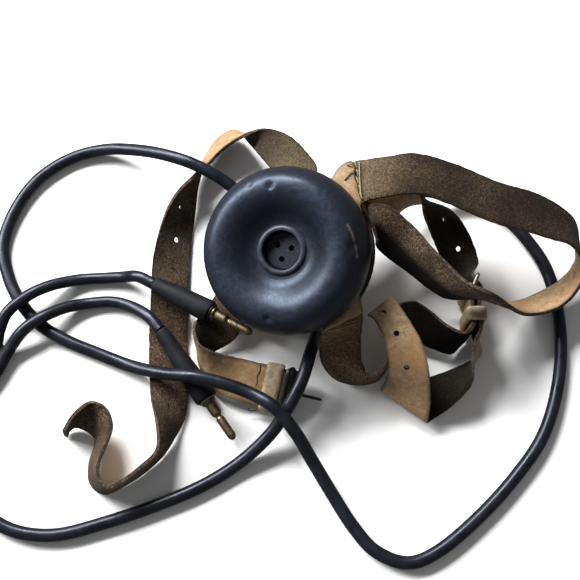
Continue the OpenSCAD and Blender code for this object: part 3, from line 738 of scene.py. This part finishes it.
def make_fork():
    """The moulded fork: two legs that run into one trunk, blended into one skin."""
    trunk = Vector(CORD_ROUTE[0])
    parts = []
    for route in (LEAD_A_ROUTE, LEAD_B_ROUTE):
        start = Vector(route[0])
        way = (Vector(CORD_ROUTE[1]) - trunk).normalized()
        path = curve([trunk + 2.2 * way, trunk, trunk.lerp(start, 0.35), trunk.lerp(start, 0.8),
                      start], 8)
        parts.append(sweep("fork_leg", [point((p.x, p.y, max(p.z, 3.2))) for p in path],
                           lambda u: (3.15 + 0.45 * math.sin(math.pi * min(1, u * 1.4))
                                      - 0.2 * u) * MM, 20))
    obj = merge_parts("fork", parts)
    change = obj.modifiers.new("skin", "REMESH")
    change.mode = "VOXEL"
    change.voxel_size = 0.45 * MM
    change = obj.modifiers.new("soften", "SMOOTH")
    change.iterations = 8
    change.factor = 0.5
    bake(obj)
    shade_smooth(obj, 180)
    return finish_piece(obj, SLEEVE, replaced=["cord_fork"])


def make_cords():
    plugs = {"a": make_plug("a", PLUG_A, False), "b": make_plug("b", PLUG_B, True)}
    fork = make_fork()
    main = cord_curve("main_flex", CORD_ROUTE[::-1], CORD_D)
    finish_piece(main, CORD, replaced=["main_cord"])
    point(CORD_ROUTE[-1])
    for letter, route in (("a", LEAD_A_ROUTE), ("b", LEAD_B_ROUTE)):
        lead = cord_curve(f"lead_{letter}_flex", route, LEAD_D)
        finish_piece(lead, CORD, replaced=[f"lead_{letter}"])
        point(route[0])
        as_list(plugs[letter])


make_cords()


# --- the receiver ---
# Each nick: where it is on the cushion, its size and its depth
NICKS = [(Vector((20, 20.5, 37.5)), 2.4, 1.7), (Vector((-26.5, -15.5, 37)), 2.0, 1.5),
         (Vector((14, 28, 36.5)), 1.5, 0.7), (Vector((22, -25, 35)), 3.5, 0.9),
         (Vector((-31, 4, 36)), 1.3, 0.5)]


def cushion_wobble(p):
    """Small unevenness of a hand-finished moulding, with NICKS in the rubber."""
    swell = 0.35 * noise.noise(p / 17) + 0.12 * noise.noise(p / 6)
    outward = Vector((p.x, p.y, 0)).normalized() * 0.5 + Vector((0, 0, 0.5))
    moved = p + swell * outward
    for nick, size, depth in NICKS:
        near = (p - nick).length / size
        if near < 2:
            moved -= depth * math.exp(-2 * near * near) * (p - Vector((0, 0, 20))).normalized()
    return moved


def make_cushion():
    profile = [(33.15, 14.1), (35.4, 14.0), (36.9, 15.6), (37.75, 19.0), (37.9, 23.0),
               (37.5, 27.0), (36.3, 31.0), (34.2, 34.4), (31.4, 36.8), (28.1, 37.7), (24.8, 37.3),
               (21.6, 35.9), (18.6, 33.9), (15.8, 31.8), (13.4, 30.6), (11.8, 30.25)]
    inner = [(8.6, 30.4), (8.55, 28.0), (8.55, 23.4), (30.0, 23.4), (30.2, 20.2), (33.15, 20.2)]
    outer = [tuple(p) for p in curve([(r, z, 0) for r, z in profile], 4)]
    skin = [(r, z) for r, z, _ in outer] + [(11.0, 30.2)] + inner
    obj = lathe("ear_pad", skin, 256, closed=True, wobble=cushion_wobble, matrix=RECEIVER)
    finish_piece(obj, CUSHION, replaced=["ear_cushion"])
    ring = [(11.5, 29.9), (11.3, 30.4), (10.8, 31.0), (10.2, 31.35), (9.6, 31.4), (9.0, 31.2),
            (8.65, 30.6), (8.6, 29.5), (9.1, 29.0), (10.8, 29.2)]
    lip = lathe("ear_pad_lip", ring, 128, closed=True, matrix=RECEIVER)
    finish_piece(lip, LIP)


def make_case():
    """The case: a hollow turned shell with a bead, a worn rim and a stepped back."""
    r = CASE_D / 2
    shell = [(0, 1.2), (9.5, 1.2), (10.2, 0.5), (20, 0.3), (21, 0.0), (r - 3.2, 0.0),
             (r - 1.0, 0.7), (r - 0.2, 2.2), (r, 3.8), (r, 12.4), (r, 13.2),
             (r, CASE_DEPTH - 0.1), (r - 3, CASE_DEPTH - 0.1),
             (CASE_INSIDE_R, CASE_DEPTH - 0.5), (CASE_INSIDE_R, 2.6), (0, 2.6)]
    obj = lathe("case_shell", rounded(shell, 0.7), 144, matrix=RECEIVER)
    finish_piece(obj, BLACK, replaced=["receiver_case"])
    rim = lathe("case_rim", [(r - 0.3, 11.6), (r + 0.25, 11.7), (r + 0.45, 12.2), (r + 0.45, 13.0),
                             (r + 0.25, 13.5), (r - 0.3, 13.6)], 144, closed=True,
                matrix=RECEIVER)
    finish_piece(rim, WORN)


make_cushion()
make_case()

# --- leather straps ---
ACROSS = 12
STRAP_STEPS = 12


def strap_ring(mid, side, up, half, far, fold):
    """One ring of a strap: grain face, edge, flesh face, edge; and its (along, across) places.

    fold is how far, in millimetres, the second edge is bent over towards the grain side.
    """
    drift = 0.18 * noise.noise(Vector((far / 9, 3.1, 0)))
    ragged = [0.22 * noise.noise(Vector((far / 2.2, 7.7 * s, 1.3))) + 0.10
              * noise.noise(Vector((far / 0.9, 2.9 * s, 4.1))) for s in (1, 2)]
    ring, places = [], []

    def add(across, level):
        width = half + ragged[0 if across < 0 else 1]
        thickness = LEATHER / 2 * (1 - 0.28 * abs(across) ** 8)
        lift = drift * (1 - abs(across)) + 0.10 * noise.noise(Vector((far / 5, across * 4, 9.0)))
        lift += fold * max(0.0, across - 0.2) ** 1.3
        ring.append(mid + side * width * across + up * (level * thickness + lift))
        places.append((far / 100, across))

    for k in range(ACROSS + 1):
        add(-1 + 2 * k / ACROSS, 1)
    add(1.012, 0)
    for k in range(ACROSS + 1):
        add(1 - 2 * k / ACROSS, -1)
    add(-1.012, 0)
    return ring, places


def strap_frames(stations):
    """Middle, side, up, half width and distance along, at each ring of a strap."""
    middles = curve([s[:3] for s in stations], STRAP_STEPS)
    sides = curve([s[3:] for s in stations], STRAP_STEPS)
    found = []
    for mid, way, wide, far in zip(middles, headings(middles), sides, lengths(middles)):
        found.append((mid, wide.normalized(), way.cross(wide).normalized(), wide.length / 2, far))
    return found


def hole_cutter(frames, along, across, length, width):
    """A punch through the strap: a round or slotted rod along its thickness."""
    mid, side, up, half, _ = min(frames, key=lambda f: abs(f[4] - along))
    way = side.cross(up)
    centre = mid + side * half * across
    rings = [[point(centre + up * level + way * length / 2 * c + side * width / 2 * s)
              for c, s in circle(20)] for level in (-PUNCH_REACH, PUNCH_REACH)]
    mesh = grid_mesh("punch", rings)
    settle(mesh, weld=False)
    mesh.materials.append(EDGE)
    return add_object("punch", mesh)


def make_strap(name, stations, node, flesh, holes=(), fold=(0, 0, 0)):
    """fold is where a lengthways fold starts and ends along the strap, and its height."""
    frames = strap_frames(stations)
    first, last, height = fold
    rings, places = [], []
    for mid, side, up, half, far in frames:
        part = min(1, max(0, (far - first) / (last - first))) if height else 0
        ring, at = strap_ring(mid, side, up, half, far, height * math.sin(math.pi * part))
        rings.append([point(p) for p in ring])
        places.extend(at)
    mesh = grid_mesh(name, rings, uvs=places)
    n = len(rings[0])
    for material in (GRAIN, EDGE, flesh):
        mesh.materials.append(material)
    for poly in mesh.polygons:
        column = poly.index % n
        if poly.index >= n * (len(rings) - 1) or column in (ACROSS, ACROSS + 1, n - 2, n - 1):
            poly.material_index = 1
        else:
            poly.material_index = 0 if column < ACROSS else 2
    settle(mesh, weld=False)
    obj = add_object(name, mesh)
    if holes:
        cut(obj, [hole_cutter(frames, *hole) for hole in holes])
    shade_smooth(obj, 50)
    finish_piece(obj, None, replaced=[node])
    return obj


def make_straps():
    make_strap("headband", HEADBAND, "headband_strap", BACK_SUEDE, fold=(185, 272, 3.5))
    make_strap("adjuster", ADJUSTING, "adjusting_strap", SHADED_SUEDE,
               [(s, a, HOLE_D, HOLE_D) for s, a in ADJUSTING_HOLES])
    make_strap("buckle_tab", BUCKLE_STRAP, "buckle_strap", LOOP_SUEDE)
    make_strap("chin_band", CHIN, "chin_strap", SUEDE,
               [(s, a, HOLE_D, HOLE_D) for s, a in CHIN_HOLES[:-1]] + [(*CHIN_HOLES[-1], 4.0, 1.2)])
    make_strap("chin_tab", CHIN_BUCKLE_STRAP, "chin_buckle_strap", SUEDE)


make_straps()


def on_strap(frames, along, across, lift, face=-1):
    """A place on a strap's flesh side (-1) or grain side (1), in millimetres, lifted off it."""
    after = next((i for i, f in enumerate(frames) if f[4] > along), len(frames) - 1)
    after = max(1, after)
    a, b = frames[after - 1], frames[after]
    u = (along - a[4]) / (b[4] - a[4])
    mid, side, up = (a[k].lerp(b[k], u) for k in range(3))
    half = a[3] + (b[3] - a[3]) * u
    return mid + side * half * across + face * up * (LEATHER / 2 + lift)


def make_tab(name, stations, seam, steps=10):
    """The collar's tongue, sewn over the start of a strap; it ends where seam(across) says."""
    frames = strap_frames(stations)
    rings, places = [], []
    for i in range(steps + 1):
        t = i / steps
        ring = []
        for level in (0, 1):
            for k in range(ACROSS + 1):
                across = (-1 + 2 * k / ACROSS) * (1 - 2 * level)
                along = -1.5 + (seam(across) + 1.5) * t
                rough = 0.12 * noise.noise(Vector((along / 2, across * 6, 2.0)))
                thick = 1.25 * (1 - 0.35 * abs(across) ** 8) * (1 - 0.45 * t ** 8)
                ring.append(point(on_strap(frames, along, across * 1.02,
                                           0.15 + (0 if level else thick + rough))))
                places.append((along / 100, across))
        rings.append(ring)
    mesh = grid_mesh(name, rings, uvs=places)
    settle(mesh, weld=False)
    obj = add_object(name, mesh)
    shade_smooth(obj, 50)
    return finish_piece(obj, GRAIN)


def make_threads(name, stations, strands, replaced=(), radius=0.30, face=-1, material=None,
                 body="headset"):
    """Waxed thread lying on a strap: each strand is a list of (along, across, lift) places."""
    frames = strap_frames(stations)
    parts = []
    for strand in strands:
        path = curve([on_strap(frames, *place, face) for place in strand], 6)
        parts.append(sweep("strand", [point(p) for p in path], radius * MM, 10))
    obj = merge_parts(name, parts)
    shade_smooth(obj, 60)
    return finish_piece(obj, material or THREAD, body, replaced)


def stitch(along, across, run, rise):
    """One stitch: down through the leather, along its face and down again."""
    return [(along, across, -1.2), (along + 0.1, across + 0.02 * run, 0.35),
            (along + rise / 2, across + run / 2, 0.75),
            (along + rise - 0.1, across + 0.98 * run, 0.35), (along + rise, across + run, -1.2)]


def make_seams():
    def head_seam(across):
        return 7.6 - 1.6 * across + 0.25 * math.sin(9 * across)

    def tab_seam(across):
        return 5.6 + 0.5 * across + 0.3 * math.sin(7 * across)

    def beyond(seam, places):
        """Each place: where on the seam, how far beyond it, how far across and how high."""
        return [(seam(at) + out, across, lift) for at, out, across, lift in places]

    make_tab("headband_tongue", HEADBAND, head_seam)
    strands = [stitch(head_seam(a) + 0.9, a, 0.30, 0.2) for a in (-0.92, -0.54, -0.16, 0.22, 0.58)]
    strands.append(beyond(head_seam, [(-0.8, 2.6, -0.86, -1), (-0.8, 2.6, -0.8, 0.7),
                                      (0, 2.0, 0, 0.8), (0.8, 0.9, 0.72, 0.8),
                                      (0.8, 0.7, 0.8, -1)]))
    strands.append(beyond(head_seam, [(-0.4, -4.6, -0.34, 0.2), (-0.4, -4.2, -0.36, 1.9),
                                      (-0.5, -1.6, -0.46, 1.9), (-0.5, -0.2, -0.5, 1.6),
                                      (-0.5, 0.6, -0.52, -0.6)]))
    strands.append(beyond(head_seam, [(-0.9, -2.0, -0.84, 0.4), (-0.9, -1.6, -0.84, 1.9),
                                      (-0.8, 0.4, -0.74, 1.5), (-0.7, 1.2, -0.66, -0.6)]))
    make_threads("headband_seam", HEADBAND, strands, ["seam_stitching"])
    make_tab("buckle_tongue", BUCKLE_STRAP, tab_seam)
    strands = [stitch(tab_seam(a) + 0.8, a, 0.28, 0.2) for a in (-0.7, -0.35, 0.0, 0.35)]
    strands.append(beyond(tab_seam, [(-0.6, 1.9, -0.66, -1), (-0.6, 1.9, -0.6, 0.7),
                                     (0, 1.7, -0.1, 0.8), (0.3, 1.2, 0.3, 0.7),
                                     (0.3, 1.0, 0.36, -1)]))
    make_threads("buckle_seam", BUCKLE_STRAP, strands)
    split = [(66.2, 0.97, -0.05), (66.7, 0.66, 0.03), (66.1, 0.40, 0.0), (66.8, 0.12, 0.03),
             (66.4, -0.10, -0.1)]
    make_threads("chin_seam", CHIN_BUCKLE_STRAP, [split], radius=0.24, face=1,
                 material=DARK_LEATHER)
    loop = [(70.4, -1.10, 0.0), (68.2, -1.12, 0.3), (66.4, -1.16, 0.4), (65.6, -1.24, 0.2),
            (66.6, -1.31, -0.1), (68.6, -1.26, -0.4), (70.4, -1.15, -0.5)]
    make_threads("keeper_thread", CHIN_BUCKLE_STRAP, [loop], radius=0.22, face=1,
                 material=DARK_LEATHER, body="chin_loop")


make_seams()


# --- buckles and keepers ---
def closed_sweep(name, path, section, matrix, angle):
    """A closed band or wire: section(p, way) gives the ring of points at the place p."""
    n = len(path)
    rings = []
    for i in range(n):
        way = (path[(i + 1) % n] - path[i - 1]).normalized()
        rings.append(section(path[i], way))
    rings.append(rings[0])
    mesh = grid_mesh(name, rings, capped=False)
    settle(mesh)
    obj = add_object(name, mesh)
    obj.data.transform(matrix)
    shade_smooth(obj, angle)
    return obj


def rounded_rectangle(x0, x1, y0, y1, radius, step=6):
    """Points round a rectangle with round corners, in order."""
    found = []
    for cx, cy, start in ((x1 - radius, y1 - radius, 0), (x0 + radius, y1 - radius, 90),
                          (x0 + radius, y0 + radius, 180), (x1 - radius, y0 + radius, 270)):
        for k in range(step + 1):
            a = math.radians(start + 90 * k / step)
            found.append((cx + radius * math.cos(a), cy + radius * math.sin(a)))
    full = []
    for (xa, ya), (xb, yb) in zip(found, found[1:] + found[:1]):
        pieces = max(1, int(math.hypot(xb - xa, yb - ya) / 1.5))
        full += [(xa + (xb - xa) * k / pieces, ya + (yb - ya) * k / pieces) for k in range(pieces)]
    return full


def wire_frame(name, matrix, reach, material, body, node):
    """A buckle frame: one round wire bent to a rounded rectangle, its bar on Y."""
    half = (BUCKLE_INSIDE + WIRE_D) / 2
    path = [Vector((x, y, 0)) for x, y in rounded_rectangle(0, reach, -half, half, 1.6)]

    def section(p, way):
        side = way.cross(Vector((0, 0, 1))).normalized()
        return [(p + WIRE_D / 2 * (c * side + s * Vector((0, 0, 1)))) * MM
                for c, s in circle(16)]

    obj = closed_sweep(name, path, section, matrix, 60)
    return finish_piece(obj, material, body, [node])


def prong(name, matrix, length, material, body, node):
    """A forged prong: an eye round the bar and a tapering tongue with a slight bow."""
    eye = [(0.95, -0.85), (1.1, -1.0), (1.75, -1.0), (1.9, -0.8), (1.9, 0.8), (1.75, 1.0),
           (1.1, 1.0), (0.95, 0.85)]
    ring = lathe("eye", eye, 32, closed=True, matrix=matrix @ turn(90, "X"))
    path = [Vector((1.3 + (length - 1.3) * k / 20, 0, 0.25 * math.sin(math.pi * k / 20)))
            for k in range(21)]
    tongue = sweep("tongue", [matrix @ (p * MM) for p in path],
                   lambda u: (0.85 - 0.15 * u if u < 0.94 else 0.7 * (1.02 - u) / 0.08) * MM, 14)
    obj = merge_parts(name, [ring, tongue])
    shade_smooth(obj, 50)
    return finish_piece(obj, material, body, [node])


def keeper(name, matrix, inside_w, inside_t, length, body, node):
    """A leather loop: a soft-cornered band with slightly domed outside."""
    path = [Vector((0, y, z)) for y, z in
            rounded_rectangle(-inside_w / 2, inside_w / 2, -inside_t / 2, inside_t / 2, 0.6)]

    def section(p, way):
        out = way.cross(Vector((1, 0, 0))).normalized()
        shape = [(-1.0, 0.12), (-0.92, 0.0), (0.92, 0.0), (1.0, 0.12), (1.0, 0.60), (0.92, 0.82),
                 (0.55, 0.97), (0.0, 1.0), (-0.55, 0.97), (-0.92, 0.82), (-1.0, 0.60)]
        rough = 1 + 0.02 * noise.noise(p / 3)
        return [(p + Vector((x * length / 2 * rough, 0, 0)) + out * KEEPER_WALL * t) * MM
                for x, t in shape]

    obj = closed_sweep(name, path, section, matrix, 40)
    return finish_piece(obj, TAN, body, [node])


def make_buckles():
    fastened = frame_matrix(FASTENED_AT, ((0.42, 0.907, 0), (0, 0, 1)))
    wire_frame("fastened_wire", fastened, FASTENED_REACH, DULL_STEEL, "headset",
               "fastened_buckle_frame")
    prong("fastened_tongue", frame_matrix(FASTENED_AT, ((-1, 0.15, 0), (0, 0, 1))), 13, BLACKENED,
          "fastened_prong", "fastened_buckle_prong")
    keeper("fastened_band", frame_matrix(FASTENED_KEEPER_AT, ((0, 1, 0), (0, 0, 1))),
           KEEPER_INSIDE_W, 6.4, 6.5, "fastened_loop", "fastened_keeper")
    chin = frame_matrix(CHIN_AT, CHIN_AXES)
    back = chin @ turn(-CHIN_FRAME_BACK, "Y")
    wire_frame("chin_wire", back, CHIN_REACH, BLACKENED, "chin_frame",
               "chin_buckle_frame")
    tube = [(0.95, -9.9), (1.4, -10), (1.7, -9.7), (1.7, -4), (1.68, 0), (1.7, 4), (1.7, 9.7),
            (1.4, 10), (0.95, 9.9)]
    roller = lathe("chin_sleeve", tube, 40, closed=True, matrix=back
                   @ Matrix.Translation((CHIN_REACH * MM, 0, 0)) @ turn(90, "X"))
    finish_piece(roller, BLACKENED, "chin_roller", ["chin_buckle_roller"])
    prong("chin_tongue", chin, 15.5, BLACKENED, "chin_prong", "chin_buckle_prong")
    keeper("chin_band_loop", frame_matrix(CHIN_KEEPER_AT, CHIN_AXES), KEEPER_INSIDE_W,
           LEATHER + 0.8, 8, "chin_loop", "chin_keeper")


make_buckles()


# --- the rest of the receiver ---
# The cord leaves the case's back on this bearing, this far out and at this slant
GLAND_BEARING = -18
GLAND_OUT = 21
GLAND_SLANT = 127
GLAND_SEAT = 8.5
GLAND = (RECEIVER @ turn(GLAND_BEARING, "Z") @ Matrix.Translation((GLAND_OUT * MM, 0, 0))
         @ turn(GLAND_SLANT, "Y"))


def make_gland():
    profile = [(0, -1), (6.5, -1), (6.5, 7.6), (5.6, GLAND_SEAT), (0, GLAND_SEAT)]
    boss = lathe("cord_boss", rounded(profile, 0.6), 64, matrix=GLAND)
    finish_piece(boss, BLACK)
    profile = [(0, 0), (5.9, 0), (5.9, 1.8), (5.0, 2.4)]
    for k in range(4):
        z = 2.8 + 3.2 * k
        r = 5.3 - 0.42 * k
        profile += [(r, z), (r, z + 1.7), (r - 0.7, z + 2.1), (r - 0.7, z + 2.8)]
    profile += [(3.6, 16.5), (3.4, 18.5), (0, 18.5)]
    relief = lathe("strain_relief", rounded(profile, 0.35), 48,
                   matrix=GLAND @ Matrix.Translation((0, 0, GLAND_SEAT * MM)))
    finish_piece(relief, SLEEVE, replaced=["cord_gland"])


def make_collar():
    r = CASE_D / 2 + 0.1
    profile = [(r, COLLAR_Z), (36.6, COLLAR_Z), (37.0, COLLAR_Z + 0.6), (37.0, COLLAR_Z + 1.7),
               (36.6, COLLAR_Z + LEATHER), (r, COLLAR_Z + LEATHER)]
    obj = lathe("collar_ring", profile, 160, closed=True, matrix=RECEIVER)
    finish_piece(obj, DARK_LEATHER, replaced=["strap_collar"])


def dress_cad():
    """Materials, and softened edges, for the CAD nodes whose shape stays."""
    kept = {
        "receiver_cap": (CAP, 0.25), "fastened_chape": (TAN, 0.35),
        "chin_chape": (DARK_LEATHER, 0.35),
        "diaphragm": (PLAIN_STEEL, 0), "diaphragm_spacer": (BRIGHT_BRASS, 0),
        "magnet": (PLAIN_STEEL, 0.3), "pole_pieces": (PLAIN_STEEL, 0.2),
        "coil_bobbins": (FIBRE, 0.1), "coil_windings": (COPPER, 0.4),
        "terminal_block": (FIBRE, 0.2),
        "terminal_screws": (BRIGHT_BRASS, 0.1), "magnet_screw": (BRIGHT_BRASS, 0.1),
    }
    for node, (material, edge) in kept.items():
        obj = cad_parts[node]
        obj.data.materials.clear()
        obj.data.materials.append(material)
        if edge:
            change = obj.modifiers.new("edges", "BEVEL")
            change.width = edge * MM
            change.segments = 2
            change.limit_method = "ANGLE"
            change.angle_limit = math.radians(40)
            change.harden_normals = False


make_gland()
make_collar()
dress_cad()

# --- stage ---
LAMP_AIM = Vector((0, 0, 0.02))
FLOOR_HALF = 3.0


def make_stage():
    mesh = bpy.data.meshes.new("floor")
    s = FLOOR_HALF
    mesh.from_pydata([(-s, -s, 0), (s, -s, 0), (s, s, 0), (-s, s, 0)], [], [(0, 1, 2, 3)])
    floor = add_object("floor", mesh)
    floor.data.materials.append(floor_material())
    floor.visible_glossy = False
    world = bpy.data.worlds.new("studio")
    world.use_nodes = True
    world.node_tree.nodes["Background"].inputs[0].default_value = (1, 1, 1, 1)
    world.node_tree.nodes["Background"].inputs[1].default_value = 0.20
    bpy.context.scene.world = world
    bpy.context.scene.view_settings.view_transform = "Standard"
    for name, place, size, power in (("key", (-0.36, 0.74, 0.76), 0.30, 18.0),
                                     ("side", (-0.70, 0.50, 0.70), 0.34, 15.0),
                                     ("low", (-0.86, 0.30, 0.46), 0.30, 8.0)):
        light = bpy.data.lights.new(name, "AREA")
        light.size = size
        light.energy = power
        lamp = bpy.data.objects.new(name, light)
        lamp.location = place
        lamp.rotation_euler = (Vector(place) - LAMP_AIM).to_track_quat("Z", "Y").to_euler()
        bpy.context.scene.collection.objects.link(lamp)


make_stage()
